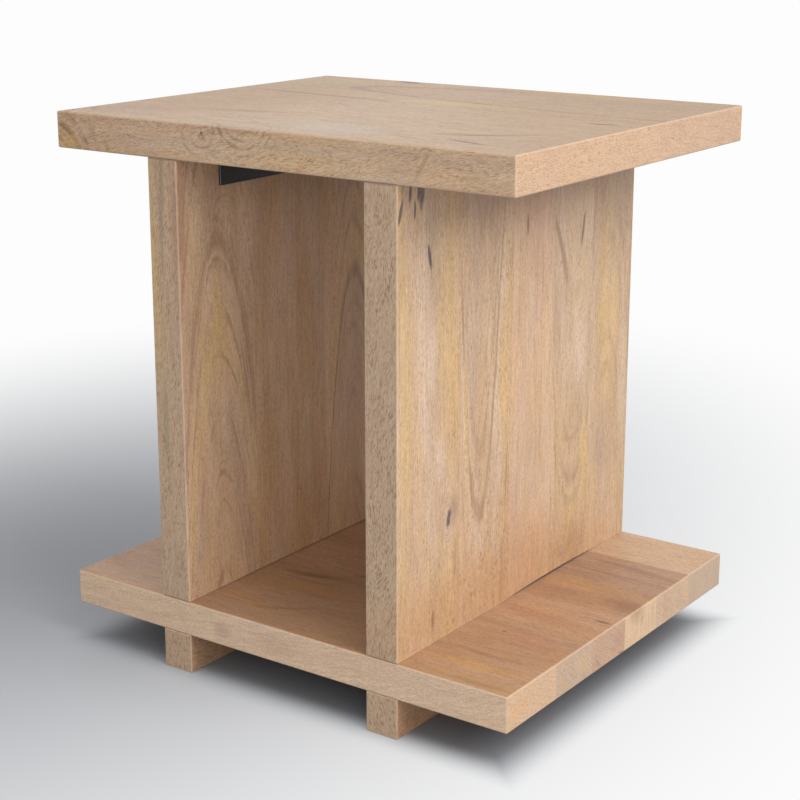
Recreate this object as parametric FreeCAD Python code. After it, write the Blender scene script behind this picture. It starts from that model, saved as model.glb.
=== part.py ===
import FreeCAD, Part
import math
import os
from FreeCAD import Vector

# Side table of solid hardwood boards: a top and a shelf of one size, two upright panels
# between them and two runner feet below. Millimetres, +Z up, the front looks along -Y.
# The origin is on the floor, under the middle of the table.

# Boards
table_width = 559.0
table_depth = 457.0
top_thickness = 38.0
shelf_thickness = 38.0
panel_thickness = 38.0
panel_height = 469.0
foot_height = 43.0
top_overhang = 126.0
slab_easing = 2.0
upright_easing = 1.5
joint_bevel = 0.5

# Glue joints between the staves of each board, from front to back
top_joint_shares = (0.293, 0.589)
shelf_joint_shares = (0.197, 0.354, 0.503, 0.656, 0.823)
left_panel_joint_shares = (0.252, 0.521, 0.705, 0.875)
right_panel_joint_shares = (0.236, 0.444, 0.625, 0.801)

# Steel angle under the top, along each panel
bracket_leg = 33.0
bracket_steel = 3.0
bracket_inside_radius = 2.0
bracket_inset = 64.0
slot_width = 5.6
slot_length = 10.0
slot_from_edge = 15.0
panel_slot_shares = (0.25, 0.5, 0.75)
top_slot_shares = (0.1, 0.35, 0.65, 0.9)

# Wood screws of the angle, each with a wide washer
screw_length = 30.0
screw_thread = 5.0
screw_core = 3.4
screw_pitch = 2.2
screw_point = 4.0
screw_head_diameter = 9.5
screw_head_height = 3.2
screw_head_rounding = 1.4
cross_length = 4.6
cross_width = 0.9
cross_depth = 1.8
screw_washer_diameter = 15.0
screw_washer_bore = 5.3
screw_washer_thickness = 1.2

# Dowels between panel and top, and between panel and shelf
dowel_diameter = 10.0
dowel_length = 40.0
dowel_chamfer = 1.0
dowel_end_space = 0.8
dowel_shares = (0.1, 0.9)

# Bolts from under the foot, through foot and shelf, into an insert in the panel
bolt_diameter = 8.0
bolt_hole_diameter = 9.0
bolt_head_diameter = 13.0
bolt_head_height = 8.0
bolt_chamfer = 0.8
hex_socket_width = 6.0
hex_socket_depth = 4.0
bolt_in_insert = 18.0
bolt_shares = (0.25, 0.75)
counterbore_diameter = 17.0
counterbore_depth = 10.6
bolt_washer_diameter = 16.0
bolt_washer_bore = 8.4
bolt_washer_thickness = 1.6
insert_diameter = 12.0
insert_core = 10.4
insert_length = 20.0
insert_pitch = 4.0
bolt_tip_space = 3.0

# Clearance round every pin in its hole, and how far a cutter runs past what it cuts
fit_gap = 0.1
overrun = 4.0

# Levels and places that follow from the boards
front = -table_depth / 2
shelf_underside = foot_height
shelf_face = shelf_underside + shelf_thickness
top_underside = shelf_face + panel_height
panel_inner = table_width / 2 - top_overhang - panel_thickness
panel_middle = panel_inner + panel_thickness / 2

UP = Vector(0, 0, 1)
OUTWARD = Vector(1, 0, 0)


def save(node, *solids):
    shape = solids[0] if len(solids) == 1 else Part.makeCompound(solids)
    shape.exportStep(os.path.join("parts", node + ".step"))


def on_side(side, solid):
    """A solid made for the right side, or its mirror image for the left side."""
    return solid if side == "right" else solid.mirror(Vector(0, 0, 0), OUTWARD)


def from_front(share):
    return front + share * table_depth


def cut_all(solid, cutters):
    return solid.cut(Part.makeCompound(cutters)) if cutters else solid


def aimed(solid, place, direction):
    """Moves a solid made along +Z from the origin to its place, pointing along direction."""
    moved = solid.copy()
    moved.Placement = FreeCAD.Placement(place, FreeCAD.Rotation(UP, direction))
    return moved


def hole(diameter, depth, place, direction=UP):
    """A cutter from its mouth at place, with the overrun behind the mouth."""
    start = place - direction * overrun
    return Part.makeCylinder(diameter / 2, depth + overrun, start, direction)


def turned(outline):
    """A solid turned about Z from an outline of (radius, height) points."""
    points = [Vector(radius, 0, height) for radius, height in outline]
    face = Part.Face(Part.makePolygon(points + points[:1]))
    return face.revolve(Vector(0, 0, 0), UP, 360)


def thread_outline(core, crest, start, length, pitch):
    """The ridges of a coarse thread, as an outline that climbs from its start height."""
    count = max(1, round(length / pitch))
    step = length / count
    points = []
    for ridge in range(count):
        foot = start + ridge * step
        points += [(core / 2, foot), (crest / 2, foot + step / 2)]
    return points + [(core / 2, start + length)]


# Boards and their arrises

def board(low, width, depth, height, easing, joint_levels=()):
    """A board with rounded arrises. Those at a joint get a small bevel, which shows as a seam."""

    def at_joint(edge):
        box = edge.BoundBox
        levels = [abs(box.ZMin - level) for level in joint_levels]
        return box.ZLength < joint_bevel and min(levels, default=easing) < joint_bevel

    block = Part.makeBox(width, depth, height, low)
    block = block.makeFillet(easing, [e for e in block.Edges if not at_joint(e)])
    bevelled = [e for e in block.Edges if at_joint(e)]
    return block.makeChamfer(joint_bevel, bevelled) if bevelled else block


def save_staves(name, slab, joint_shares):
    """Saves a board as its staves, parted at the glue joints from front to back."""
    box = slab.BoundBox
    edges = [front - overrun, *map(from_front, joint_shares), -front + overrun]
    for number, (near, far) in enumerate(zip(edges, edges[1:]), 1):
        low = Vector(box.XMin - overrun, near, box.ZMin - overrun)
        width = box.XLength + 2 * overrun
        between = Part.makeBox(width, far - near, box.ZLength + 2 * overrun, low)
        save(f"{name}_stave_{number}", *slab.common(between).Solids)


# Top

def make_top(screw_places, dowel_places):
    low = Vector(-table_width / 2, front, top_underside)
    slab = board(low, table_width, table_depth, top_thickness, slab_easing)
    holes = [dowel_hole(place, UP) for place in dowel_places]
    holes += [screw_hole(place, UP) for place in screw_places]
    both = [on_side(side, cutter) for side in ("left", "right") for cutter in holes]
    save_staves("top", cut_all(slab, both), top_joint_shares)


# Shelf

def make_shelf(bolt_places, dowel_places):
    low = Vector(-table_width / 2, front, shelf_underside)
    slab = board(low, table_width, table_depth, shelf_thickness, slab_easing)
    holes = [dowel_hole(place, -UP) for place in dowel_places]
    through = shelf_thickness + overrun
    holes += [hole(bolt_hole_diameter, through, place) for place in bolt_places]
    both = [on_side(side, cutter) for side in ("left", "right") for cutter in holes]
    save_staves("shelf", cut_all(slab, both), shelf_joint_shares)


# Upright panels

def make_panel(side, joint_shares, screw_places, top_dowels, shelf_dowels, insert_places):
    low = Vector(panel_inner, front, shelf_face)
    joints = (shelf_face, top_underside)
    size = (panel_thickness, table_depth, panel_height)
    panel = board(low, *size, upright_easing, joints)
    insert_depth = insert_length + bolt_tip_space
    holes = [dowel_hole(place, -UP) for place in top_dowels]
    holes += [dowel_hole(place, UP) for place in shelf_dowels]
    holes += [screw_hole(place, OUTWARD) for place in screw_places]
    width = insert_diameter + 2 * fit_gap
    holes += [hole(width, insert_depth, place) for place in insert_places]
    save_staves(f"{side}_panel", on_side(side, cut_all(panel, holes)), joint_shares)


# Runner feet, with a counterbore under each bolt

def make_foot(side, bolt_places):
    low = Vector(panel_inner, front, 0)
    size = (panel_thickness, table_depth, foot_height)
    foot = board(low, *size, upright_easing, (shelf_underside,))
    holes = [hole(counterbore_diameter, counterbore_depth, place) for place in bolt_places]
    through = foot_height + overrun
    holes += [hole(bolt_hole_diameter, through, place) for place in bolt_places]
    save(f"{side}_foot", on_side(side, cut_all(foot, holes)))


# Dowels

def dowel_hole(place, direction):
    depth = dowel_length / 2 + dowel_end_space
    return hole(dowel_diameter + 2 * fit_gap, depth, place, direction)


def make_dowels(side, name, places):
    radius = dowel_diameter / 2
    half = dowel_length / 2
    narrow = radius - dowel_chamfer
    shoulder = half - dowel_chamfer
    outline = [(0, -half), (narrow, -half), (radius, -shoulder)]
    outline += [(radius, shoulder), (narrow, half), (0, half)]
    dowel = turned(outline)
    save(f"{side}_{name}_dowels", *(on_side(side, aimed(dowel, p, UP)) for p in places))


# Steel angle: one leg on the panel, one under the top, slotted for the wood's movement

bracket_length = table_depth - 2 * bracket_inset
leg_line = bracket_leg - slot_from_edge


def on_bracket(share):
    return front + bracket_inset + share * bracket_length


def slot(place, direction):
    """An obround cutter, long along Y, through one leg."""
    depth = bracket_steel + 2 * overrun
    straight = slot_length - slot_width
    low = Vector(-slot_width / 2, -straight / 2, -overrun)
    cutter = Part.makeBox(slot_width, straight, depth, low)
    for end in (-straight / 2, straight / 2):
        round_end = Part.makeCylinder(slot_width / 2, depth, Vector(0, end, -overrun))
        cutter = cutter.fuse(round_end)
    return aimed(cutter, place, direction)


def make_bracket(side, panel_places, top_places):
    """An angle bent from sheet. The outline is seen from the front, corner at the top right."""
    y = front + bracket_inset
    outside = bracket_inside_radius + bracket_steel
    back, roof = panel_inner, top_underside
    bend = Vector(back - outside, y, roof - outside)
    slant = Vector(math.sqrt(0.5), 0, math.sqrt(0.5))
    far_x, low_z = back - bracket_leg, roof - bracket_leg
    inner_x, inner_z = back - bracket_steel, roof - bracket_steel
    lines = [
        (Vector(bend.x, y, roof), Vector(far_x, y, roof)),
        (Vector(far_x, y, roof), Vector(far_x, y, inner_z)),
        (Vector(far_x, y, inner_z), Vector(bend.x, y, inner_z)),
        (Vector(inner_x, y, bend.z), Vector(inner_x, y, low_z)),
        (Vector(inner_x, y, low_z), Vector(back, y, low_z)),
        (Vector(back, y, low_z), Vector(back, y, bend.z)),
    ]
    edges = [Part.LineSegment(*ends).toShape() for ends in lines]
    outer_middle = bend + slant * outside
    inner_middle = bend + slant * bracket_inside_radius
    outer = Part.Arc(Vector(back, y, bend.z), outer_middle, Vector(bend.x, y, roof))
    inner = Part.Arc(Vector(bend.x, y, inner_z), inner_middle, Vector(inner_x, y, bend.z))
    edges.insert(3, inner.toShape())
    edges.append(outer.toShape())
    angle = Part.Face(Part.Wire(edges)).extrude(Vector(0, bracket_length, 0))
    slots = [slot(place - OUTWARD * bracket_steel, OUTWARD) for place in panel_places]
    slots += [slot(place - UP * bracket_steel, UP) for place in top_places]
    save(f"{side}_bracket", on_side(side, cut_all(angle, slots)))


# Screws and washers of the angle

screw_stack = bracket_steel + screw_washer_thickness


def screw_hole(place, direction):
    """The hole in the wood behind a slot, as deep as the screw reaches."""
    depth = screw_length - screw_stack + fit_gap
    return hole(screw_thread + 2 * fit_gap, depth, place, direction)


def screw():
    """A pan-head wood screw along +Z, with its head's underside at the origin."""
    head = screw_head_diameter / 2
    threaded = screw_length - screw_stack - screw_point
    outline = [(0, -screw_head_height), (head - screw_head_rounding, -screw_head_height)]
    outline += [(head, screw_head_rounding - screw_head_height), (head, 0)]
    outline += [(screw_core / 2, 0)]
    ridges = (screw_core, screw_thread, screw_stack, threaded, screw_pitch)
    outline += thread_outline(*ridges) + [(0, screw_length)]
    solid = turned(outline)
    for length, width in ((cross_length, cross_width), (cross_width, cross_length)):
        low = Vector(-length / 2, -width / 2, -screw_head_height - overrun)
        solid = solid.cut(Part.makeBox(length, width, cross_depth + overrun, low))
    return solid


def washer(outside, bore, thickness):
    ring = Part.makeCylinder(outside / 2, thickness)
    return ring.cut(hole(bore, thickness + overrun, Vector(0, 0, 0)))


def make_bracket_fixings(side, leg, places, direction):
    """The screws and washers of one leg. Each washer lies on the leg, each head on its washer."""
    ring = washer(screw_washer_diameter, screw_washer_bore, screw_washer_thickness)
    fixing = screw()
    screws = [aimed(fixing, p - direction * screw_stack, direction) for p in places]
    rings = [aimed(ring, p - direction * screw_stack, direction) for p in places]
    save(f"{side}_bracket_{leg}_screws", *(on_side(side, s) for s in screws))
    save(f"{side}_bracket_{leg}_washers", *(on_side(side, r) for r in rings))


# Bolts, their washers and the inserts they turn into

washer_seat = counterbore_depth
head_seat = washer_seat - bolt_washer_thickness
bolt_length = shelf_face + bolt_in_insert - head_seat


def bolt():
    """A socket-head bolt along +Z, with its head's underside at the origin."""
    head, shank = bolt_head_diameter / 2, bolt_diameter / 2
    outline = [(0, -bolt_head_height), (head - bolt_chamfer, -bolt_head_height)]
    outline += [(head, bolt_chamfer - bolt_head_height), (head, 0), (shank, 0)]
    outline += [(shank, bolt_length - bolt_chamfer), (shank - bolt_chamfer, bolt_length)]
    outline += [(0, bolt_length)]
    corner = hex_socket_width / 2 / math.cos(math.pi / 6)
    base = -bolt_head_height - overrun
    sixth = math.tau / 6
    points = []
    for turn in range(7):
        across, along = math.cos(turn * sixth), math.sin(turn * sixth)
        points.append(Vector(corner * across, corner * along, base))
    socket = Part.Face(Part.makePolygon(points)).extrude(UP * (hex_socket_depth + overrun))
    return turned(outline).cut(socket)


def insert():
    """A threaded insert along +Z, with its lower end at the origin."""
    bore = bolt_diameter / 2 + fit_gap
    outline = [(bore, 0)]
    outline += thread_outline(insert_core, insert_diameter, 0, insert_length, insert_pitch)
    return turned(outline + [(bore, insert_length)])


def make_bolting(side, places):
    ring = washer(bolt_washer_diameter, bolt_washer_bore, bolt_washer_thickness)
    for name, solid, level in (
        ("foot_bolts", bolt(), head_seat),
        ("bolt_washers", ring, head_seat),
        ("panel_inserts", insert(), shelf_face),
    ):
        solids = [aimed(solid, Vector(p.x, p.y, level), UP) for p in places]
        save(f"{side}_{name}", *(on_side(side, s) for s in solids))


# The whole table, with each place given for the right side

def make_table():
    os.makedirs("parts", exist_ok=True)
    screw_height = top_underside - leg_line
    screw_across = panel_inner - leg_line
    panel_screws = [Vector(panel_inner, on_bracket(s), screw_height) for s in panel_slot_shares]
    top_screws = [Vector(screw_across, on_bracket(s), top_underside) for s in top_slot_shares]
    top_dowels = [Vector(panel_middle, from_front(s), top_underside) for s in dowel_shares]
    shelf_dowels = [Vector(panel_middle, from_front(s), shelf_face) for s in dowel_shares]
    inserts = [Vector(panel_middle, from_front(s), shelf_face) for s in bolt_shares]
    shelf_bolts = [Vector(panel_middle, from_front(s), shelf_underside) for s in bolt_shares]
    foot_bolts = [Vector(panel_middle, from_front(s), 0) for s in bolt_shares]
    make_top(top_screws, top_dowels)
    make_shelf(shelf_bolts, shelf_dowels)
    for side, shares in (("left", left_panel_joint_shares), ("right", right_panel_joint_shares)):
        make_panel(side, shares, panel_screws, top_dowels, shelf_dowels, inserts)
        make_foot(side, foot_bolts)
        make_dowels(side, "top", top_dowels)
        make_dowels(side, "panel", shelf_dowels)
        make_bracket(side, panel_screws, top_screws)
        make_bracket_fixings(side, "panel", panel_screws, OUTWARD)
        make_bracket_fixings(side, "top", top_screws, UP)
        make_bolting(side, foot_bolts)


make_table()
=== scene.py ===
import math
import bpy
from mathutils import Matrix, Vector


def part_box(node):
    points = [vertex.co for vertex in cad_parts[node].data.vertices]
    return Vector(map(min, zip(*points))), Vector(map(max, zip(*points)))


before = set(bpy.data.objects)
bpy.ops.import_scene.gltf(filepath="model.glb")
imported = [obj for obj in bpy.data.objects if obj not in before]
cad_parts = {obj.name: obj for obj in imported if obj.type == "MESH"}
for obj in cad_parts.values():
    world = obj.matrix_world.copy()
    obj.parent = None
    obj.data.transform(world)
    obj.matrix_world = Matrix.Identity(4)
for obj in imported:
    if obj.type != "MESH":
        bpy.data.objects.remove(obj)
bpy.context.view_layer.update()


# Runner feet
# Two solid hardwood blocks under the panels, grain from front to back, so that their ends show
# at the front. Sawn, sanded, arrises rounded over, and finished with a clear matt lacquer.

def put(tree, kind, feeds=(), **settings):
    """Adds a node, sets it up, and feeds its sockets with values or with other nodes' sockets."""
    node = tree.nodes.new("ShaderNode" + kind)
    for name, value in settings.items():
        setattr(node, name, value)
    for socket, feed in dict(feeds).items():
        if isinstance(feed, bpy.types.NodeSocket):
            tree.links.new(feed, node.inputs[socket])
        else:
            node.inputs[socket].default_value = feed
    return node


def calc(tree, operation, *feeds):
    """One number from one to three others."""
    return put(tree, "Math", enumerate(feeds), operation=operation).outputs[0]


def vector_calc(tree, operation, *feeds):
    """The same for places and ways. A length or a dot product is a number."""
    node = put(tree, "VectorMath", enumerate(feeds), operation=operation)
    return node.outputs["Value" if operation in ("LENGTH", "DOT_PRODUCT") else "Vector"]


def join(tree, *parts):
    """A place from its numbers. Those left out are 0."""
    return put(tree, "CombineXYZ", enumerate(parts)).outputs[0]


def fade(tree, value, start, end, low=0.0, high=1.0):
    """Passes smoothly from low to high while value goes from start to end."""
    feeds = {"Value": value, "From Min": start, "From Max": end, "To Min": low, "To Max": high}
    return put(tree, "MapRange", feeds, interpolation_type="SMOOTHSTEP").outputs[0]


def noise(tree, place, size, detail=2.0):
    """Soft noise from 0 to 1, with patches as large as size, in mm across, into and along."""
    scaled = vector_calc(tree, "DIVIDE", place, size)
    return put(tree, "TexNoise", {"Vector": scaled, "Scale": 1.0, "Detail": detail}).outputs[0]


def lay_over(tree, share, under, over, how="MIX"):
    """One colour over another, by a share from 0 to 1."""
    feeds = {0: share, 6: under, 7: over}
    return put(tree, "Mix", feeds, data_type="RGBA", blend_type=how).outputs[2]


def blank(name):
    """A new material and its nodes."""
    made = bpy.data.materials.new(name)
    made.use_nodes = True
    return made, made.node_tree


def feed_shader(tree, colour, rough, height, strength, depth):
    """Gives the shader its colour, its roughness, and a bump of so many metres."""
    bump = put(tree, "Bump", {"Height": height, "Strength": strength, "Distance": depth})
    shader = tree.nodes["Principled BSDF"]
    tree.links.new(colour, shader.inputs["Base Color"])
    tree.links.new(rough, shader.inputs["Roughness"])
    tree.links.new(bump.outputs[0], shader.inputs["Normal"])
    return shader


def tone(red, green, blue):
    """A colour given as it looks on a screen, from 0 to 255, as the light it reflects."""
    shares = [value / 255 for value in (red, green, blue)]
    return (*((s / 12.92 if s < 0.04 else ((s + 0.055) / 1.055) ** 2.4) for s in shares), 1.0)


honey = tone(207, 172, 139)
cream = tone(220, 192, 166)
blush = tone(199, 160, 132)
greige = tone(190, 160, 134)
straw = tone(212, 176, 124)
umber = tone(160, 122, 94)


class Board:
    """A board's own axes: millimetres across it, into it from its best face, and along its grain."""

    def __init__(self, nodes, across, into, along):
        lows, highs = zip(*(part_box(node) for node in nodes))
        low = Vector([min(values) for values in zip(*lows)])
        high = Vector([max(values) for values in zip(*highs)])
        self.ways = [Vector(way) for way in (across, into, along)]
        # Each axis is in one of the ways, so their sum says from which side it is counted
        signs = sum(self.ways, Vector())
        self.corner = [lo if sign > 0 else hi for lo, hi, sign in zip(low, high, signs)]
        self.size = [1000 * abs((high - low).dot(way)) for way in self.ways]

    def place(self, tree):
        """Where a point of the surface lies in the board, as three numbers and as one place."""
        here = put(tree, "TexCoord").outputs["Object"]
        offset = vector_calc(tree, "SUBTRACT", here, self.corner)
        metres = [vector_calc(tree, "DOT_PRODUCT", offset, way) for way in self.ways]
        parts = [calc(tree, "MULTIPLY", value, 1000.0) for value in metres]
        return parts, join(tree, *parts)

    def facing(self, tree, way):
        """1 on the two faces square to one of the board's ways, 0 on the four others."""
        normal = put(tree, "NewGeometry").outputs["True Normal"]
        square = calc(tree, "ABSOLUTE", vector_calc(tree, "DOT_PRODUCT", normal, self.ways[way]))
        return fade(tree, square, 0.6, 0.9)

    def from_arris(self, tree, parts):
        """The distance to the nearest arris: the middle one of the distances to the six faces."""
        near = [
            calc(tree, "MINIMUM", part, calc(tree, "SUBTRACT", size, part))
            for part, size in zip(parts, self.size)
        ]
        lesser = calc(tree, "MINIMUM", near[0], near[1])
        greater = calc(tree, "MAXIMUM", near[0], near[1])
        return calc(tree, "MAXIMUM", lesser, calc(tree, "MINIMUM", greater, near[2]))


def growth(tree, own, parts, place, pith, lean, knots, usual):
    """The distance from the pith, unsettled by noise, and the way round it at the usual distance.
    A knot is a place with rings of its own, which start at a given distance and may be longer
    than wide."""
    offsets = []
    for part, start, slope in zip(parts, pith, lean):
        centre = calc(tree, "MULTIPLY_ADD", parts[2], slope, start)
        offsets.append(calc(tree, "SUBTRACT", part, centre))
    squares = [calc(tree, "MULTIPLY", offset, offset) for offset in offsets]
    radius = calc(tree, "SQRT", calc(tree, "ADD", *squares))
    for knot, size, first, stretch in knots:
        offset = vector_calc(tree, "SUBTRACT", place, knot)
        offset = vector_calc(tree, "DIVIDE", offset, (1.0, 1.0, stretch))
        reach = vector_calc(tree, "LENGTH", offset)
        share = fade(tree, reach, size, size / 3)
        around_knot = calc(tree, "ADD", reach, first)
        radius = put(tree, "Mix", {0: share, 2: radius, 3: around_knot}).outputs[0]
    unrest = (((40, 40, 160), 3.0), ((10, 10, 80), 1.0), ((2, 2, 14), 0.4))
    for size, amount in unrest:
        radius = calc(tree, "MULTIPLY_ADD", noise(tree, own, size), amount, radius)
    radius = calc(tree, "SUBTRACT", radius, sum(amount for size, amount in unrest) / 2)
    around = calc(tree, "MULTIPLY", calc(tree, "ARCTAN2", *offsets), usual)
    return radius, around


def ring_colour(tree, radius, rings):
    """The colours of the growth zones, from the (radius, colour) pairs of a stave."""
    first, last = rings[0][0], rings[-1][0]
    span = {"Value": radius, "From Min": first, "From Max": last}
    ramp = put(tree, "ValToRGB", {0: put(tree, "MapRange", span).outputs[0]})
    stops = ramp.color_ramp.elements
    stops.remove(stops[1])
    for number, (reach, colour) in enumerate(rings):
        share = (reach - first) / (last - first)
        stop = stops[0] if number == 0 else stops.new(share)
        stop.position = share
        stop.color = colour
    return ramp.outputs[0]


def wander(tree, own):
    """A place in the stave, moved aside as the grain wandered while the tree grew."""
    slow, slow_mm = noise(tree, own, (90, 90, 260), 1.0), 9.0
    quick, quick_mm = noise(tree, own, (16, 16, 40), 1.0), 5.0
    sway = calc(tree, "MULTIPLY_ADD", slow, slow_mm, calc(tree, "MULTIPLY", quick, quick_mm))
    return vector_calc(tree, "ADD", own, join(tree, sway, sway))


def fibre_run(tree, own, flow, grain, sides, ends, end_turn):
    """The place that pores and fibres are drawn by. On the faces they follow the rings, by grain:
    the distance from the pith, the way round it and the place along the board. They lean on the
    sides, where the grain interlocks, and stand at an angle on the ends."""
    most_lean, steady_lean = 28.0, 0.18
    leaning = calc(tree, "MULTIPLY", noise(tree, own, (60, 60, 80), 1.0), most_lean)
    leaning = calc(tree, "MULTIPLY_ADD", grain[2], steady_lean, leaning)
    on_sides = vector_calc(tree, "ADD", flow, join(tree, 0.0, leaning))
    turn = math.radians(end_turn)
    through = vector_calc(tree, "DOT_PRODUCT", flow, (-math.sin(turn), math.cos(turn), 0.0))
    beside = vector_calc(tree, "DOT_PRODUCT", flow, (math.cos(turn), math.sin(turn), 0.0))
    run = lay_over(tree, sides, join(tree, *grain), on_sides)
    return lay_over(tree, ends, run, join(tree, through, 0.0, beside))


def soft_patches(tree, own, colour):
    """Lays soft patches of other tones over the rings. Gives back the last patch's place too."""
    for size, tint, most in (
        ((24, 24, 200), straw, 0.5),
        ((34, 34, 200), blush, 0.4),
        ((26, 26, 110), greige, 0.4),
        ((18, 18, 150), cream, 0.4),
        ((4, 4, 110), straw, 0.25),
    ):
        own = vector_calc(tree, "ADD", own, (19.0, 23.0, 71.0))
        cover = fade(tree, noise(tree, own, size), 0.42, 0.68, 0.0, most)
        colour = lay_over(tree, cover, colour, tint)
    return own, colour


def year_lines(tree, own, radius, edges, seed, lines, bold, colour):
    """Thin lines of the year's growth that come and go, and bold rings that are always there. Both
    are weaker on the edges."""
    lines_per_mm, loss_on_edges, always = 0.5, 0.6, 0.6
    turns = calc(tree, "MULTIPLY_ADD", radius, lines_per_mm, seed * 3.3)
    year = put(tree, "TexNoise", {"W": turns, "Scale": 1.0, "Detail": 2.0}, noise_dimensions="1D")
    come = fade(tree, noise(tree, own, (12, 12, 60)), 0.35, 0.65)
    wane = calc(tree, "MULTIPLY_ADD", edges, -loss_on_edges, 1.0)
    thin = calc(tree, "MULTIPLY", fade(tree, year.outputs[0], 0.48, 0.36, 0.0, lines), come)
    colour = lay_over(tree, calc(tree, "MULTIPLY", thin, wane), colour, umber)
    for reach, width, tint, share in bold:
        gap = calc(tree, "ABSOLUTE", calc(tree, "SUBTRACT", radius, reach))
        cover = calc(tree, "MULTIPLY_ADD", come, 1.0 - always, always)
        cover = calc(tree, "MULTIPLY", cover, wane)
        cover = calc(tree, "MULTIPLY", cover, fade(tree, gap, width, 0.2 * width, 0.0, share))
        colour = lay_over(tree, cover, colour, tint)
    return colour


def spot(tree, place, mark):
    """1 inside an egg-shaped mark, 0 outside. A bow bends it, by as much at its ends, in mm
    across and into the board."""
    half = (mark["end"] - mark["start"]) / 2
    middle = mark["start"] + half
    local = place
    if any(mark["bow"]):
        offset = vector_calc(tree, "SUBTRACT", place, middle)
        share = vector_calc(tree, "DOT_PRODUCT", offset, half / half.length_squared)
        square = calc(tree, "MULTIPLY", share, share)
        bend = [calc(tree, "MULTIPLY", square, amount) for amount in mark["bow"]]
        local = vector_calc(tree, "SUBTRACT", place, join(tree, *bend))
    size = (mark["width"] / 2, mark["width"] / 2, half.length)
    turn = half.to_track_quat("Z", "Y").to_euler()
    feeds = {"Vector": local, "Location": middle, "Rotation": turn, "Scale": size}
    local = put(tree, "Mapping", feeds, vector_type="TEXTURE").outputs[0]
    rough_edge = calc(tree, "SUBTRACT", noise(tree, place, (1.8, 1.8, 14.0), 3.0), 0.5)
    reach = vector_calc(tree, "LENGTH", local)
    reach = calc(tree, "MULTIPLY_ADD", rough_edge, 2 * mark["ragged"], reach)
    cover = fade(tree, reach, 1.0, 1.0 - mark["edge"], 0.0, mark["share"])
    if mark["rings"]:
        wave = calc(tree, "SINE", calc(tree, "MULTIPLY", reach, 2 * math.pi * mark["rings"]))
        cover = calc(tree, "MULTIPLY", cover, fade(tree, wave, 0.0, 1.0))
        broken = fade(tree, noise(tree, place, (18, 18, 26)), 0.35, 0.65)
        cover = calc(tree, "MULTIPLY", cover, broken)
    return cover


def wood(
    name, board, seed, pith, lean, rings, marks=(), knots=(), bold=(), end=None, side=None,
    face=None, end_turn=0, lines=0.3, coarse=(1.0, 1.0), shade=1.0,
):
    """Lacquered solid wood for one stave.

    pith: where the tree's middle passes the start of the board, in mm across and into it
    lean: how far the pith moves those two ways for each mm along the board
    rings: the growth zones, as distance from the pith in mm and colour
    marks: what shows on this stave alone, laid over in this order
    knots: place, size, first ring and stretch of each knot
    bold: distance, width, colour and share of the rings drawn stronger than the others
    end, side, face: tints of the board's ends, sides and faces
    end_turn: the angle at which the rings stand on the ends, in degrees
    lines: how strongly the year's growth shows
    coarse: how strongly the pores show on faces and on edges
    shade: how light the faces are against the ends and sides of the same stave, painted light and shade
    """
    made, tree = blank(name)
    parts, place = board.place(tree)

    # Every stave takes its noise from a place of its own, so that no two are alike
    own = vector_calc(tree, "ADD", place, seed * Vector((61.0, 37.0, 213.0)))
    sides, faces, ends = (board.facing(tree, way) for way in range(3))
    edges = calc(tree, "MAXIMUM", sides, ends)
    usual = (rings[0][0] + rings[-1][0]) / 2
    radius, around = growth(tree, own, parts, place, pith, lean, knots, usual)
    flow = wander(tree, own)
    run = fibre_run(tree, own, flow, (radius, around, parts[2]), sides, ends, end_turn)

    # The figure, from the growth zones to the marks of this stave alone
    own, colour = soft_patches(tree, own, ring_colour(tree, radius, rings))
    for tint, share, cover in ((end, 0.8, ends), (side, 0.7, sides), (face, 0.5, faces)):
        if tint:
            colour = lay_over(tree, calc(tree, "MULTIPLY", cover, share), colour, tint)
    colour = year_lines(tree, own, radius, edges, seed, lines, bold, colour)
    for mark in marks:
        colour = lay_over(tree, spot(tree, place, mark), colour, mark["colour"], mark["how"])

    # Short dark dashes where the pores are cut, and fine fibre
    pore_size, fibre_size, strand_size = (0.8, 1.0, 6.5), (0.6, 0.6, 3.5), (2.4, 2.4, 30)
    dash = noise(tree, run, pore_size, 1.5)
    crowd = fade(tree, noise(tree, flow, (8, 8, 30)), 0.3, 0.65, 0.35, 1.0)
    pore = calc(tree, "MULTIPLY", fade(tree, dash, 0.5, 0.68), crowd)
    pore_share = fade(tree, edges, 0.0, 1.0, 0.55 * coarse[0], 0.75 * coarse[1])
    colour = lay_over(tree, calc(tree, "MULTIPLY", pore, pore_share), colour, umber)
    fibre = noise(tree, run, fibre_size)
    strand = calc(tree, "MULTIPLY_ADD", noise(tree, run, strand_size, 1.0), 0.4, fibre)
    light = fade(tree, strand, 0.42, 0.98, 0.8, 1.2)
    # Painted light and shade: shade makes the faces lighter or darker than the ends and sides
    light = calc(tree, "MULTIPLY", light, calc(tree, "MULTIPLY_ADD", faces, shade - 1.0, 1.0))
    colour = vector_calc(tree, "MULTIPLY", colour, join(tree, light, light, light))

    # Arrises are painted paler: partly sanding wear, partly a painted highlight along their rounded
    # edges
    arris = calc(tree, "MULTIPLY_ADD", fibre, 1.5, board.from_arris(tree, parts))
    colour = lay_over(tree, fade(tree, arris, 2.6, 1.2, 0.0, 0.35), colour, cream)

    # The lacquer is a little duller over the pores, which it doesn't quite fill
    rough = calc(tree, "MULTIPLY_ADD", pore, 0.15, fade(tree, fibre, 0.25, 0.75, 0.46, 0.56))
    height = calc(tree, "MULTIPLY_ADD", fibre, 0.06, calc(tree, "MULTIPLY", pore, -0.1))
    shader = feed_shader(tree, colour, rough, height, 0.7, 0.001)
    shader.inputs["Specular IOR Level"].default_value = 0.4
    return made


def finish_node(node, material):
    """A piece of the frame keeps its shape and gets its real finish."""
    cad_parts[node].material_slots[0].material = material


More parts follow.
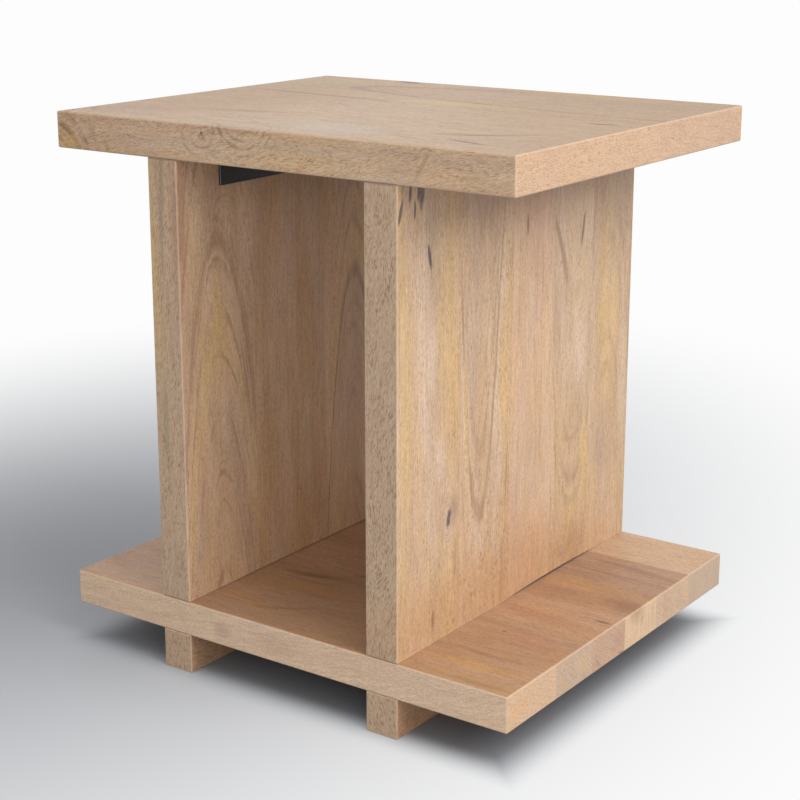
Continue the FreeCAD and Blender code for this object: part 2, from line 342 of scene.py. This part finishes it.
foot_rings = {
    "left": [(88, greige), (98, blush), (106, greige), (118, straw), (132, honey)],
    "right": [(80, honey), (92, blush), (104, greige), (116, straw), (136, greige)],
}
sawn = {"end": tone(196, 168, 139), "side": tone(190, 144, 108), "end_turn": 80, "coarse": (1, 2.2)}
for hand, seed, pith in (("left", 3, (-90.0, 10.0)), ("right", 5, (120.0, 60.0))):
    foot = Board([f"{hand}_foot"], across=(1, 0, 0), into=(0, 0, -1), along=(0, 1, 0))
    material = wood(f"{hand}_foot_wood", foot, seed, pith, (0.01, 0.0), foot_rings[hand], **sawn)
    finish_node(f"{hand}_foot", material)


# Shelf
# A slab of six solid staves glued edge to edge, grain from left to right. It lies on the feet
# and is clamped between them and the panels. Its right end shows each stave in its own colour.

def streak(
    start, end, width, colour, share=0.9, bow=(0, 0), edge=0.55, ragged=0.25, rings=0, how="MIX",
):
    """A narrow mark in the wood between two places, each in mm across, into and along a board.

    share: how much of the colour is laid on in the middle of the mark
    bow: how far its ends are bent aside, in mm across and into the board
    edge: how much of the mark is its soft edge
    ragged: how far the grain breaks that edge
    rings: how many rings it is made of, none for a solid mark
    how: the way in which the colour is laid over the wood
    """
    return {
        "start": Vector(start), "end": Vector(end), "width": width, "colour": colour,
        "share": share, "bow": bow, "edge": edge, "ragged": ragged, "rings": rings, "how": how,
    }


def patch(start, end, width, colour, share, bow=(0, 0), how="MIX"):
    """A wide mark with a very soft edge."""
    return streak(start, end, width, colour, share, bow, edge=0.9, ragged=0.35, how=how)


def shade_off(start, end, width, colour, share):
    """A wide darker zone that leaves the figure under it as it is."""
    return patch(start, end, width, colour, share, how="MULTIPLY")


def staves_of(slab, count):
    """The names of a slab's staves, from front to back."""
    return [f"{slab}_stave_{number}" for number in range(1, count + 1)]


def finish_staves(nodes, board, first_seed, staves, last_marks, **usual):
    """Finishes each stave of a slab. What most of them share is given once, in usual, and the last
    marks run over all of them."""
    for seed, (node, stave) in enumerate(zip(nodes, staves), first_seed):
        stave = {**usual, **stave}
        stave["marks"] = [*stave.get("marks", ()), *last_marks]
        finish_node(node, wood(f"{node}_wood", board, seed, **stave))


rosy = tone(208, 170, 140)
amber = tone(203, 162, 121)
dusk = tone(146, 114, 96)
gold = tone(214, 160, 104)
bark = tone(112, 78, 56)
ledge_straw = tone(222, 172, 112)

half_depth = 228
right_end = 559

shelf_nodes = staves_of("shelf", 6)
shelf = Board(shelf_nodes, across=(0, 1, 0), into=(0, 0, -1), along=(1, 0, 0))

shelf_staves = [
    {
        "pith": (-150.0, 60.0), "lean": (0.02, 0.0), "end": tone(214, 177, 142), "end_turn": 25,
        "side": tone(230, 199, 171), "coarse": (1.0, 0.15),
        "rings": [(160, amber), (180, honey), (196, amber), (212, blush), (240, amber)],
        "marks": [
            # The front edge and the right end
            patch((0, 20, 190), (0, 20, 226), 26, greige, 0.7),
            patch((20, 10, right_end), (24, 30, right_end), 60, tone(222, 172, 128), 0.7),
            patch((0, 20, 235), (0, 20, 325), 30, rosy, 0.6),
            streak((73, 1, 558), (73, 7, 558), 3, umber, 0.8),
            # The right ledge
            patch((40, 0, 420), (46, 0, 575), 32, ledge_straw, 0.7),
            patch((72, 0, 430), (68, 0, 540), 12, umber, 0.45),
            patch((8, 0, 470), (12, 0, 570), 12, umber, 0.4),
            # The floor of the cubby
            patch((62, 0, 150), (30, 0, 260), 26, gold, 0.7, (-14, 0)),
            patch((20, 0, 200), (66, 0, 300), 12, umber, 0.5, (12, 0)),
        ],
    },
    {
        "pith": (330.0, -60.0), "lean": (0.0, 0.05), "end": tone(194, 166, 140), "end_turn": 45,
        "rings": [(165, amber), (182, honey), (196, umber), (202, honey), (225, amber), (250, blush)],
        "marks": [
            # The right end and the right ledge
            patch((150, 4, right_end), (140, 34, right_end), 40, tone(206, 172, 134), 0.8),
            streak((118, 0, 560), (116, 0, 470), 4, dusk, 0.4),
            patch((132, 0, 450), (118, 0, 565), 50, tone(208, 150, 122), 0.6),
            streak((128, 0, 472), (129, 0, 478), 4, tone(150, 84, 60), 0.9),
            # The floor of the cubby
            patch((126, 0, 170), (146, 0, 275), 16, bark, 0.6, (10, 0)),
            patch((98, 0, 165), (108, 0, 330), 30, gold, 0.7, (12, 0)),
            patch((116, 0, 180), (126, 0, 300), 9, umber, 0.5, (12, 0)),
        ],
    },
    {
        "pith": (10.0, 60.0), "lean": (-0.04, 0.0), "end": tone(194, 157, 131), "end_turn": 30,
        "face": tone(212, 158, 124), "shade": 0.8,
        "rings": [(150, amber), (175, blush), (196, amber), (225, amber)],
        "marks": [
            # The right end
            streak((166, 22, right_end), (181, 36, right_end), 4, dusk, 0.5),
            streak((190, 24, right_end), (232, 38, right_end), 7, blush, 0.6),
            patch((220, 0, right_end), (216, 38, right_end), 44, tone(190, 148, 122), 0.9),
            streak((212, 34, right_end), (232, 37, right_end), 3, tone(176, 118, 92), 0.9),
            # The face
            streak((207, 0, 534), (206, 0, 558), 7, dusk, 0.95),
            patch((172, 0, 300), (160, 0, 470), 22, dusk, 0.45, (-6, 0)),
            patch((152, 0, 240), (172, 0, 300), 14, bark, 0.5),
            patch((200, 0, 430), (196, 0, 520), 34, tone(222, 170, 126), 0.6),
            patch((190, 0, 400), (180, 0, 560), 34, tone(196, 138, 100), 0.6),
        ],
    },
    {
        "pith": (410.0, 80.0), "lean": (0.03, 0.0), "end": tone(224, 190, 154), "end_turn": 88,
        "face": tone(204, 146, 104), "shade": 0.74,
        "rings": [(105, amber), (125, umber), (131, amber), (150, straw), (180, amber)],
        "marks": [
            streak((268, 8, right_end), (268, 22, right_end), 8, amber, 0.9),
            streak((290, 0, right_end), (294, 38, right_end), 5, blush, 0.6),
            patch((262, 0, 380), (256, 0, 520), 26, tone(190, 140, 108), 0.5),
            patch((262, 0, 505), (252, 0, 590), 46, tone(160, 112, 86), 0.6),
            patch((278, 0, 425), (274, 0, 515), 30, tone(220, 164, 116), 0.7),
        ],
    },
    {
        "pith": (230.0, 60.0), "lean": (0.05, 0.0), "end": tone(208, 175, 145), "end_turn": 30,
        "face": tone(200, 150, 122),
        "rings": [(70, blush), (88, dusk), (93, blush), (110, umber), (116, blush), (150, blush)],
        "marks": [
            patch((360, 0, 420), (352, 0, 570), 16, umber, 0.6),
            patch((330, 0, 400), (326, 0, 580), 10, umber, 0.5),
            patch((320, 0, right_end), (326, 38, right_end), 24, blush, 0.7),
            patch((372, 0, right_end), (376, 38, right_end), 14, straw, 0.6),
        ],
    },
    {
        "pith": (550.0, 40.0), "lean": (0.0, 0.0), "end": tone(194, 168, 144), "end_turn": 100,
        "face": honey, "shade": 0.95,
        "rings": [(90, honey), (115, rosy), (140, honey), (180, rosy)],
    },
]
# Painted shade: the shelf's face is darker between the panels, under the top
painted_shade_between_panels = shade_off((half_depth, 0, 160), (half_depth, 0, 400), 480, tone(216, 210, 196), 0.75)
# Painted shade: all the shelf's faces are shaded to 0.76 and tinted orange, for the ledges under the
# top's overhang. Each stave's own shade and face tint also set its tone.
finish_staves(
    shelf_nodes, shelf, 11, shelf_staves, [painted_shade_between_panels],
    lines=0.25, coarse=(1.1, 0.4), face=tone(206, 152, 113), shade=0.76,
)


# Left panel
# An upright of five glued staves, grain from top to bottom. Dowels line it up on the shelf
# and two long bolts from below pull it down. Its inner face looks through the open front.

def swirl(start, end, width, colour, share, rings):
    """Rings round the middle of a mark, as round a knot."""
    edge_break = 4
    return streak(start, end, width, colour, share, edge=0.5, ragged=edge_break / width, rings=rings)


left_nodes = staves_of("left_panel", 5)
left_panel = Board(left_nodes, across=(0, 1, 0), into=(-1, 0, 0), along=(0, 0, 1))

left_staves = [
    {
        "pith": (60.0, 58.9), "lean": (0.0, 0.089), "lines": 0.6, "side": tone(196, 168, 140),
        "rings": [
            (50, straw), (66, honey), (76, greige), (80, honey), (84, straw), (90, honey), (97, greige),
            (104, honey), (110, rosy),
        ],
        "bold": [(93, 1.8, umber, 0.6)], "coarse": (1.0, 1.3),
        "marks": [
            # The inner face
            swirl((72, 0, 345), (66, 0, 455), 64, umber, 0.3, 5),
            patch((63, 0, 140), (63, 0, 236), 18, cream, 0.6),
            streak((112, 0, 150), (89, 0, 290), 4, dusk, 0.5),
            patch((32, 0, 90), (32, 0, 330), 14, straw, 0.6),
            # The front edge
            patch((0, 33, 190), (0, 33, 500), 17, straw, 0.75),
            patch((0, 25, 320), (0, 17, 540), 10, tone(152, 133, 112), 0.7),
            patch((0, 12, 392), (0, 13, 440), 9, straw, 0.6),
            patch((0, 22, 110), (0, 26, 270), 12, tone(158, 144, 116), 0.5),
            patch((2, 0, 290), (6, 0, 530), 30, tone(140, 98, 74), 0.5),
        ],
    },
    {
        "pith": (-40.0, 70.0), "lean": (0.02, 0.0), "lines": 0.3, "shade": 0.97,
        "rings": [(150, rosy), (185, amber), (210, rosy), (240, amber), (290, rosy)],
    },
    {
        "pith": (293.0, 42.9), "lean": (0.0, 0.083), "lines": 0.4,
        "rings": [(40, blush), (66, greige), (68.5, greige), (71, straw), (78, honey), (95, amber)],
        "bold": [(69, 1.1, dusk, 0.7), (66, 0.9, umber, 0.3)],
        "marks": [streak((236, 0, 412), (220, 0, 199), 3, umber, 0.5)],
    },
    {
        "pith": (350.0, -110.0), "lean": (0.0, 0.03),
        "rings": [(95, honey), (110, cream), (125, honey), (150, blush)],
    },
    {
        "pith": (425.0, 75.0), "lean": (0.0, -0.05),
        "rings": [(45, rosy), (62, blush), (66, umber), (69, honey), (90, amber)],
    },
]

# Darker high up under the top: painted shade under its overhang. Thin dark lines along the foot of the
# inner face, and across the front edge where it meets the shelf and the top: painted shadow in the
# seams.
painted_shade_under_top_left = shade_off((half_depth, 0, 380), (half_depth, 0, 560), 620, tone(206, 192, 184), 0.6)
seam_shadow = tone(56, 40, 32)
inner_seam_shadow = streak((-60, 0, -0.5), (520, 0, -0.5), 5.5, seam_shadow, 0.8, edge=0.4, ragged=0.1)
front_seam_shadows = [
    streak((0, -20, height), (0, 58, height), 4.5, seam_shadow, 0.8, edge=0.4, ragged=0.1)
    for height in (-0.5, left_panel.size[2] + 0.5)
]
left_marks = [painted_shade_under_top_left, inner_seam_shadow, *front_seam_shadows]
# Painted light: the panel's faces are 8% lighter than its edges, on an inner face that stands in shade
# between the panels
finish_staves(left_nodes, left_panel, 21, left_staves, left_marks, shade=1.08)


# Right panel
# The same upright on the right: five glued staves, dowelled and bolted in the same way. Its outer
# face has a tall pointed figure in the second stave, and dark mineral streaks high in the first.

ink = tone(70, 60, 72)
shell = tone(218, 176, 148)
right_nodes = staves_of("right_panel", 5)
right_panel = Board(right_nodes, across=(0, 1, 0), into=(-1, 0, 0), along=(0, 0, 1))

right_staves = [
    {
        "pith": (-110.0, 95.0), "lean": (0.0, 0.02), "side": tone(192, 166, 141), "coarse": (1.2, 1.7),
        "rings": [
            (140, honey), (156, straw), (168, honey), (184, cream), (196, greige), (212, honey),
            (222, straw), (232, amber),
        ],
        "knots": [((89, 0, 125), 26, 196, 1.5)],
        "marks": [
            # The mineral streaks
            streak((42, 0, 478), (38, 0, 438), 12, ink),
            streak((35, 0, 470), (34, 0, 446), 7, ink),
            streak((22, 0, 472), (20, 0, 447), 6, ink),
            streak((29, 0, 454), (28, 0, 431), 5, ink),
            streak((10, 0, 458), (1, 0, 427), 6, ink),
            streak((56, 0, 378), (50, 0, 411), 6.5, ink),
            # Pale and yellow bands
            patch((56, 0, 240), (58, 0, 350), 28, cream, 0.8),
            patch((80, 0, 140), (66, 0, 230), 26, cream, 0.8),
            patch((40, 0, -20), (40, 0, 90), 150, amber, 0.8),
            patch((12, 0, 90), (16, 0, 350), 30, straw, 0.7),
            patch((107, 0, 160), (92, 0, 370), 12, straw, 0.9),
            # The knot, and the streaks under it
            streak((103, 0, 112), (97, 0, 40), 4, umber, 0.4),
            patch((98, 0, 108), (97, 0, 156), 26, dusk, 0.55),
            streak((86, 0, 112), (91, 0, 138), 8.5, ink, 0.85),
            streak((60, 0, 12), (62, 0, 38), 7, dusk, 0.9),
            streak((98, 0, 8), (98, 0, 16), 5, dusk, 0.8),
        ],
    },
    {
        "pith": (141.0, 65.1), "lean": (0.01, -0.048), "lines": 0.2, "coarse": (1.4, 1.0),
        "rings": [(36, blush), (48, greige), (58, greige), (61.5, cream), (66, honey), (78, amber)],
        "bold": [(59.8, 1.2, umber, 0.72), (56.2, 0.8, umber, 0.35), (52.4, 0.8, umber, 0.25)],
        "marks": [
            patch((190, 0, 140), (186, 0, 340), 24, straw, 1.0),
            patch((125, 0, 110), (112, 0, 320), 12, straw, 0.9),
            patch((150, 0, -20), (150, 0, 90), 130, amber, 0.6),
            streak((199, 0, 205), (191, 0, 75), 2.5, dusk, 0.55),
            streak((190, 0, 85), (187, 0, -20), 8, umber, 0.45),
        ],
    },
    {
        "pith": (130.0, 180.0), "lean": (0.0, 0.0), "coarse": (0.7, 1.0),
        "rings": [(190, shell), (205, rosy), (222, shell), (250, rosy)],
        "marks": [
            streak((230, 0, 385), (230, 0, 414), 5, dusk, 0.95),
            patch((245, 0, -20), (245, 0, 110), 120, tone(206, 160, 122), 0.6),
        ],
    },
    {
        "pith": (331.0, 105.5), "lean": (0.0, -0.08), "lines": 0.3, "bold": [(98, 1.6, umber, 0.25)],
        "rings": [(65, honey), (80, cream), (92, greige), (97, honey), (101, straw), (108, amber)],
        "marks": [
            patch((344, 0, 180), (342, 0, 320), 50, cream, 0.8),
            streak((340, 0, 352), (349, 0, 405), 6, dusk, 0.95),
            streak((325, 0, 302), (273, 0, 430), 10, umber, 0.65, (-9, 0)),
            streak((299, 0, 345), (301, 0, 352), 3, dusk, 0.6),
            patch((330, 0, -10), (330, 0, 60), 120, umber, 0.35),
            patch((352, 0, 70), (356, 0, 190), 20, straw, 0.9),
            patch((300, 0, 70), (292, 0, 190), 7, dusk, 0.5),
        ],
    },
    {
        "pith": (405.0, 78.5), "lean": (0.0, 0.06),
        "rings": [(70, amber), (82, honey), (96, straw), (104, greige), (118, greige)],
        "marks": [
            patch((395, 0, 220), (405, 0, 330), 50, straw, 0.8),
            patch((420, 0, 330), (420, 0, 480), 90, greige, 0.7),
            patch((440, 0, 90), (442, 0, 320), 26, cream, 0.6),
            patch((395, 0, 60), (395, 0, 190), 50, greige, 0.8),
        ],
    },
]

# Darker high up under the top: painted shade under its overhang. Browner low down over the shelf:
# painted warm light reflected from the shelf, and painted shade. The joint with the shelf is dark at
# the back, where it isn't quite closed: painted shadow in the open joint.
painted_shade_under_top_right = patch((half_depth, 0, 380), (half_depth, 0, 560), 620, dusk, 0.45)
painted_warm_reflection_over_shelf = patch((half_depth, 0, -110), (half_depth, 0, 110), 620, tone(194, 148, 106), 0.5)
painted_shadow_in_open_joint = streak((180, 0, -0.5), (410, 0, -0.5), 8, seam_shadow, 1.0, edge=0.3, ragged=0.1)
right_marks = [painted_shade_under_top_right, painted_warm_reflection_over_shelf, painted_shadow_in_open_joint, *front_seam_shadows]
finish_staves(right_nodes, right_panel, 31, right_staves, right_marks)


# Dowels
# Plain turned beech dowels, glued into the lower and upper ends of the panels, which they line
# up on the shelf and under the top.

def millimetres(tree):
    """The place on a piece, in millimetres."""
    here = put(tree, "TexCoord").outputs["Object"]
    return vector_calc(tree, "MULTIPLY", here, (1000.0, 1000.0, 1000.0))


def turned_wood(name, colour, dark):
    """Round wood with its grain upright and no lacquer."""
    made, tree = blank(name)
    place = millimetres(tree)
    grain = noise(tree, place, (1.2, 1.2, 18.0), 3.0)
    fleck = fade(tree, noise(tree, place, (0.4, 0.4, 2.5), 1.0), 0.58, 0.7, 0.0, 0.5)
    tint = lay_over(tree, fade(tree, grain, 0.35, 0.65), colour, dark)
    tint = lay_over(tree, fleck, tint, umber)
    feed_shader(tree, tint, fade(tree, grain, 0.2, 0.8, 0.55, 0.7), grain, 0.3, 0.0005)
    return made


def finish_pair(piece, material):
    """The same finish on the left and on the right."""
    for hand in ("left", "right"):
        finish_node(f"{hand}_{piece}", material)


beech = turned_wood("beech", tone(222, 190, 150), tone(204, 168, 128))
finish_pair("panel_dowels", beech)
finish_pair("top_dowels", beech)


# Threaded inserts
# Turned brass sleeves with a coarse outer thread, screwed into the lower ends of the panels. The
# foot bolts end in them.

def metal(name, colour, worn, rough, grain, bump_depth, metallic=1.0):
    """Metal or painted metal: colours and roughness shift in patches, over a fine grain in mm."""
    made, tree = blank(name)
    place = millimetres(tree)
    patches = noise(tree, place, (9.0, 9.0, 9.0), 4.0)
    fine = noise(tree, place, grain)
    tint = lay_over(tree, fade(tree, patches, 0.45, 0.75), colour, worn)
    smooth, dull = rough
    dullness = fade(tree, calc(tree, "MULTIPLY_ADD", fine, 0.5, patches), 0.45, 1.0, smooth, dull)
    shader = feed_shader(tree, tint, dullness, fine, 0.5, bump_depth)
    shader.inputs["Metallic"].default_value = metallic
    return made


turned_grain = (6.0, 6.0, 0.25)
brass = metal("brass", tone(214, 184, 118), tone(188, 152, 92), (0.22, 0.42), turned_grain, 0.0001)
finish_pair("panel_inserts", brass)


# Foot bolts
# Zinc plated steel M8 socket bolts with flat washers, sunk into the feet from below. They draw
# feet, shelf and panels together.

plate_grain = (0.8, 0.8, 0.3)
zinc = metal("zinc", tone(205, 207, 205), tone(176, 178, 180), (0.2, 0.4), plate_grain, 0.00005)
finish_pair("foot_bolts", zinc)
finish_pair("bolt_washers", zinc)


# Steel angles
# Pressed steel angles under the top, one on the inner face of each panel, with a satin black
# powder coat. Wood screws with wide washers hold them, in the same black.

def powder_coat(name):
    """Satin black paint with the fine orange peel of a baked powder."""
    black, worn_black, peel = tone(25, 23, 23), tone(36, 34, 34), (0.7, 0.7, 0.7)
    return metal(name, black, worn_black, (0.45, 0.6), peel, 0.0001, metallic=0.0)


def painted_end_highlight(material, reach):
    """Paints a pale highlight on the sawn ends, up to reach metres from the table's middle."""
    tree = material.node_tree
    coat = tree.nodes["Principled BSDF"].inputs["Base Color"]
    normal = put(tree, "NewGeometry").outputs["True Normal"]
    sawn_end = calc(tree, "ABSOLUTE", vector_calc(tree, "DOT_PRODUCT", normal, (0.0, 1.0, 0.0)))
    here = put(tree, "TexCoord").outputs["Object"]
    out = calc(tree, "ABSOLUTE", put(tree, "SeparateXYZ", {0: here}).outputs[0])
    within = fade(tree, out, reach, reach - 0.0003)
    share = calc(tree, "MULTIPLY", fade(tree, sawn_end, 0.6, 0.9), within)
    tree.links.new(lay_over(tree, share, coat.links[0].from_socket, tone(122, 121, 123)), coat)


steel_thickness = 0.003
panel_face = -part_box("left_bracket")[0][0]
angle_coat = powder_coat("angle_coat")
# Painted highlight: the ends of the angles are pale on the inner half of the upright leg and on the leg
# under the top
painted_end_highlight(angle_coat, panel_face - steel_thickness / 2)
finish_pair("bracket", angle_coat)
screw_coat = powder_coat("screw_coat")
for leg in ("panel", "top"):
    finish_pair(f"bracket_{leg}_screws", screw_coat)
    finish_pair(f"bracket_{leg}_washers", screw_coat)


# Top
# A slab of three wide solid staves, as large as the shelf, screwed down from below through the
# slots of the steel angles, so that it can move with the weather.

mist = tone(204, 184, 162)
top_nodes = staves_of("top", 3)
top = Board(top_nodes, across=(0, 1, 0), into=(0, 0, -1), along=(1, 0, 0))

top_staves = [
    {
        "pith": (60.0, 230.0), "lean": (0.0, -0.03), "end": tone(202, 166, 135), "lines": 0.25,
        "rings": [(205, honey), (214, greige), (222, honey), (230, blush), (240, honey)],
        "marks": [
            # The front edge, with rings round knots at its left end and left of its middle
            patch((0, 19, -100), (0, 19, 660), 70, cream, 0.15),
            patch((0, 19, -120), (0, 19, 260), 76, tone(236, 210, 190), 0.35),
            swirl((0, 54, -122), (0, 54, 98), 220, umber, 0.95, 8),
            swirl((0, 54, -100), (0, 54, 76), 176, dusk, 0.5, 15),
            swirl((0, 12, 159), (0, 12, 239), 60, umber, 0.65, 3.5),
            swirl((0, -12, 190), (0, -12, 310), 120, umber, 0.7, 8),
            # The face
            streak((56, 0, 396), (122, 0, 528), 20, umber, 0.85, (22, 0), edge=0.9),
            streak((96, 0, 85), (133, 0, 235), 21, umber, 0.7, edge=0.95),
            patch((50, 0, 225), (58, 0, 410), 88, mist, 0.7),
            streak((53, 0, 446), (34, 0, 512), 8, dusk, 1.0),
            patch((80, 0, -20), (70, 0, 130), 70, blush, 0.6),
            # A pin knot and small spots on the front edge
            streak((0, 7, 197), (0, 9, 201), 4, ink, 0.8),
            patch((0, 22, -4), (0, 42, 40), 30, straw, 0.9),
            patch((0, 30, 315), (0, 34, 330), 20, amber, 0.8),
            streak((0, 36, 450), (0, 2, 470), 6, umber, 0.5),
        ],
    },
    {
        "pith": (190.0, 250.0), "lean": (0.0, 0.02), "end": tone(204, 168, 137), "lines": 0.15,
        "rings": [(240, honey), (252, rosy), (260, honey), (270, greige)],
        "marks": [streak((224, 0, 498), (229, 0, 538), 11, dusk, 1.0)],
    },
    {
        "pith": (371.0, 140.0), "lean": (0.0, -0.085), "end": tone(202, 167, 138), "lines": 0.2,
        "rings": [(90, greige), (110, greige), (126, blush), (133, honey), (150, honey)],
        "bold": [(130, 2.0, umber, 0.75), (126, 1.2, umber, 0.25)], "end_turn": 8,
        "marks": [
            patch((291, 0, 165), (289, 0, 450), 42, tone(214, 182, 114), 0.9),
            streak((294, 0, -20), (268, 0, 265), 11, umber, 0.9, (1, 0)),
            streak((453, 0, 110), (440, 0, 160), 17, tone(122, 94, 98), 1.0),
            patch((436, 0, 118), (428, 0, 195), 28, blush, 0.6),
            patch((390, 0, 0), (385, 0, 115), 80, tone(200, 176, 138), 0.9),
            patch((442, 0, 230), (441, 0, 530), 34, tone(218, 178, 126), 0.8),
            patch((444, 0, 10), (440, 0, 115), 26, amber, 0.7),
        ],
    },
]
left_third = shade_off((half_depth, 0, -200), (half_depth, 0, 290), 900, tone(226, 210, 172), 0.85)
# Painted shade: the top's faces are shaded to 0.74 and tinted, darker than its front edge and ends
finish_staves(top_nodes, top, 41, top_staves, [left_third], face=tone(206, 172, 136), shade=0.74)


# Floor
# A plain pale studio floor, painted matt. Its paint is darker under the table, a painted shadow. It
# turns white away from the table, later on the side where the shadow lies.

def seen_ray(tree, *kinds):
    """1 for the camera's rays and the kinds named, 0 for the light that falls on the table."""
    ray = put(tree, "LightPath")
    seen = ray.outputs["Is Camera Ray"]
    for kind in kinds:
        seen = calc(tree, "MAXIMUM", seen, ray.outputs[kind])
    return seen


studio_white = tone(253, 253, 253)
floor_radius = 14
table_half = (0.28, 0.23)
shadow_middle = (-0.47, -0.12, 0.0)
shadow_shape = (1.0, 0.65, 1.0)
shadow_reach = 1.1

bpy.ops.mesh.primitive_circle_add(vertices=96, radius=floor_radius, fill_type="NGON")
floor = bpy.context.object
floor.name = "floor"
floor_paint, floor_tree = blank("floor_paint")
paint = floor_tree.nodes["Principled BSDF"]
paint.inputs["Roughness"].default_value = 0.9
paint.inputs["Specular IOR Level"].default_value = 0.1
on_floor = put(floor_tree, "TexCoord").outputs["Object"]
out_from_middle = [
    calc(floor_tree, "SUBTRACT", calc(floor_tree, "ABSOLUTE", part), half)
    for part, half in zip(put(floor_tree, "SeparateXYZ", {0: on_floor}).outputs, table_half)
]
from_table = calc(floor_tree, "MAXIMUM", *out_from_middle)
# Painted shadow: the paint is darker under the table
under = fade(floor_tree, from_table, -0.05, 0.02)
grey = lay_over(floor_tree, under, tone(138, 141, 146), tone(172, 175, 180))
floor_tree.links.new(grey, paint.inputs["Base Color"])
from_shadow = vector_calc(floor_tree, "SUBTRACT", on_floor, shadow_middle)
from_shadow = vector_calc(floor_tree, "MULTIPLY", from_shadow, shadow_shape)
from_shadow = vector_calc(floor_tree, "LENGTH", from_shadow)
whitened = fade(floor_tree, from_shadow, 0.0, shadow_reach)
whitened = calc(floor_tree, "MULTIPLY", whitened, fade(floor_tree, from_table, -0.03, 0.025))
whitened = calc(floor_tree, "MULTIPLY", whitened, seen_ray(floor_tree, "Is Glossy Ray"))
white = put(floor_tree, "Emission", {"Color": studio_white, "Strength": 1.0})
floor_mix = put(floor_tree, "MixShader", {0: whitened, 1: paint.outputs[0], 2: white.outputs[0]})
floor_tree.links.new(floor_mix.outputs[0], floor_tree.nodes["Material Output"].inputs[0])
floor.data.materials.append(floor_paint)


# Light
# One large soft lamp from the right, one from the corner where the camera stands, a weak one
# from behind, and even pale light from all round.

def lamp(name, place, size, power):
    """A square lamp that is aimed at the middle of the table."""
    table_middle = Vector((0, 0, 0.3))
    lit = bpy.data.lights.new(name, "AREA")
    lit.shape = "SQUARE"
    lit.size = size
    lit.energy = power
    made = bpy.data.objects.new(name, lit)
    made.location = place
    made.rotation_euler = (table_middle - Vector(place)).to_track_quat("-Z", "Y").to_euler()
    bpy.context.scene.collection.objects.link(made)


lamp("key_lamp", place=(1.9, -0.3, 1.85), size=1.6, power=38.5)
lamp("corner_lamp", place=(1.6, -1.9, 1.0), size=1.4, power=13)
lamp("back_lamp", place=(-1.8, 1.7, 1.3), size=1.4, power=6)
studio = bpy.data.worlds.new("studio")
bpy.context.scene.world = studio
studio.use_nodes = True
air = studio.node_tree
even = air.nodes["Background"]
even.inputs["Color"].default_value = (0.96, 0.98, 1.0, 1.0)
even.inputs["Strength"].default_value = 0.6
backdrop = put(air, "Background", {"Color": studio_white, "Strength": 1.0})
seen = seen_ray(air, "Is Glossy Ray", "Is Transmission Ray")
air_mix = put(air, "MixShader", {0: seen, 1: even.outputs[0], 2: backdrop.outputs[0]})
air.links.new(air_mix.outputs[0], air.nodes["World Output"].inputs[0])
bpy.context.scene.view_settings.view_transform = "Standard"


# Camera
# A long lens at the photograph's viewing angle, a little above the top and to the right of the
# front. It is tilted down, so the table's upright lines draw together a little.

lens = bpy.data.cameras.new("camera")
lens.lens = 79.2
lens.shift_y = -0.05
camera = bpy.data.objects.new("camera", lens)
round_by, raised_by = math.radians(35.33), math.radians(14.74)
flat = math.cos(raised_by)
back = Vector((math.sin(round_by) * flat, -math.cos(round_by) * flat, math.sin(raised_by)))
camera.location = (1.068, -1.514, 0.802)
camera.rotation_euler = (-back).to_track_quat("-Z", "Y").to_euler()
bpy.context.scene.collection.objects.link(camera)
bpy.context.scene.camera = camera
